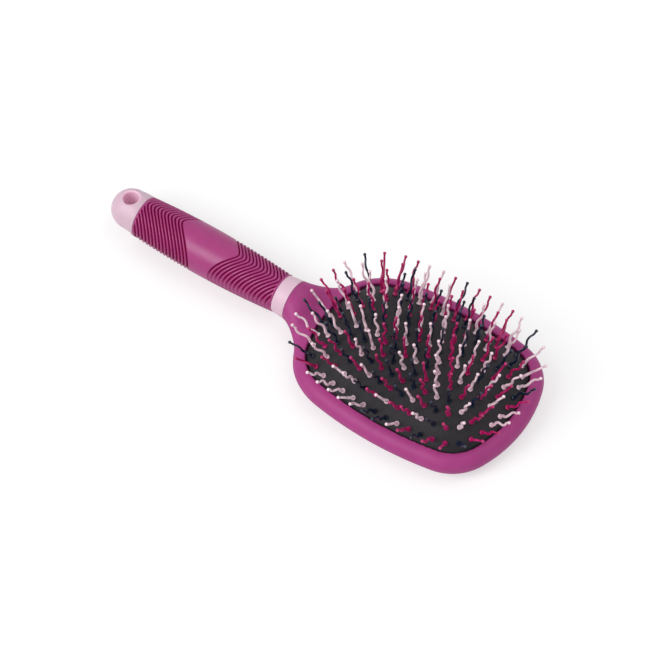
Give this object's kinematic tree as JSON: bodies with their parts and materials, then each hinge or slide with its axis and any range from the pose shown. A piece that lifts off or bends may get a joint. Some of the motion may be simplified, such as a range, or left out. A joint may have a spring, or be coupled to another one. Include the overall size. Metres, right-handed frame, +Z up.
{
  "type": "detangling paddle brush",
  "caption": "Paddle hair brush with a domed air cushion of wavy ball-tipped pins in rings, a ribbed rubber grip and a hang hole in the end cap.",
  "frame": {"origin": "middle of the brush's length and width with its pins, on the surface that it lies on with the pins up", "axes": "+X along the handle from the hang hole to the head, +Z up, the way the pins point"},
  "size_m": [0.246, 0.0951, 0.0461],
  "materials": {
    "head": "soft-touch satin",
    "cushion": "matte",
    "core": "as moulded",
    "grip": "satin",
    "trim": "satin",
    "pin_light": "gloss",
    "pin_crimson": "gloss",
    "pin_navy": "gloss"
  },
  "bodies": {
    "brush": {"collar": "trim", "cushion": "cushion", "end_cap": "trim", "grip_sleeve": "grip", "handle_core": "core", "head_shell": "head"},
    "pin_ring7": {"pins_ring7_crimson": "pin_crimson", "pins_ring7_light": "pin_light", "pins_ring7_navy": "pin_navy"},
    "pin_ring6": {"pins_ring6_crimson": "pin_crimson", "pins_ring6_light": "pin_light", "pins_ring6_navy": "pin_navy"},
    "pin_ring5": {"pins_ring5_crimson": "pin_crimson", "pins_ring5_light": "pin_light", "pins_ring5_navy": "pin_navy"},
    "pin_ring4": {"pins_ring4_crimson": "pin_crimson", "pins_ring4_light": "pin_light", "pins_ring4_navy": "pin_navy"},
    "pin_ring3": {"pins_ring3_crimson": "pin_crimson", "pins_ring3_light": "pin_light", "pins_ring3_navy": "pin_navy"},
    "pin_ring2": {"pins_ring2_crimson": "pin_crimson", "pins_ring2_light": "pin_light", "pins_ring2_navy": "pin_navy"},
    "pin_ring1": {"pins_ring1_crimson": "pin_crimson", "pins_ring1_light": "pin_light", "pins_ring1_navy": "pin_navy"}
  },
  "joints": [
    {"name": "cushion_press", "type": "slide", "parent": "brush", "child": "pin_ring7", "axis": [0, 0, 1], "range_m": [-0.0065, 0], "stiffness_N_per_m": 2500, "deforming": ["cushion"]},
    {"name": "ring6_sink", "type": "slide", "parent": "brush", "child": "pin_ring6", "axis": [0, 0, 1], "range_m": [-0.00638, 0]},
    {"name": "ring5_sink", "type": "slide", "parent": "brush", "child": "pin_ring5", "axis": [0, 0, 1], "range_m": [-0.00601, 0]},
    {"name": "ring4_sink", "type": "slide", "parent": "brush", "child": "pin_ring4", "axis": [0, 0, 1], "range_m": [-0.00539, 0]},
    {"name": "ring3_sink", "type": "slide", "parent": "brush", "child": "pin_ring3", "axis": [0, 0, 1], "range_m": [-0.00448, 0]},
    {"name": "ring2_sink", "type": "slide", "parent": "brush", "child": "pin_ring2", "axis": [0, 0, 1], "range_m": [-0.00327, 0]},
    {"name": "ring1_sink", "type": "slide", "parent": "brush", "child": "pin_ring1", "axis": [0, 0, 1], "range_m": [-0.00151, 0]}
  ],
  "couplings": [
    {"joint": "ring6_sink", "follows": "cushion_press", "ratio": 0.98124},
    {"joint": "ring5_sink", "follows": "cushion_press", "ratio": 0.92456},
    {"joint": "ring4_sink", "follows": "cushion_press", "ratio": 0.82827},
    {"joint": "ring3_sink", "follows": "cushion_press", "ratio": 0.68944},
    {"joint": "ring2_sink", "follows": "cushion_press", "ratio": 0.50335},
    {"joint": "ring1_sink", "follows": "cushion_press", "ratio": 0.23146}
  ]
}
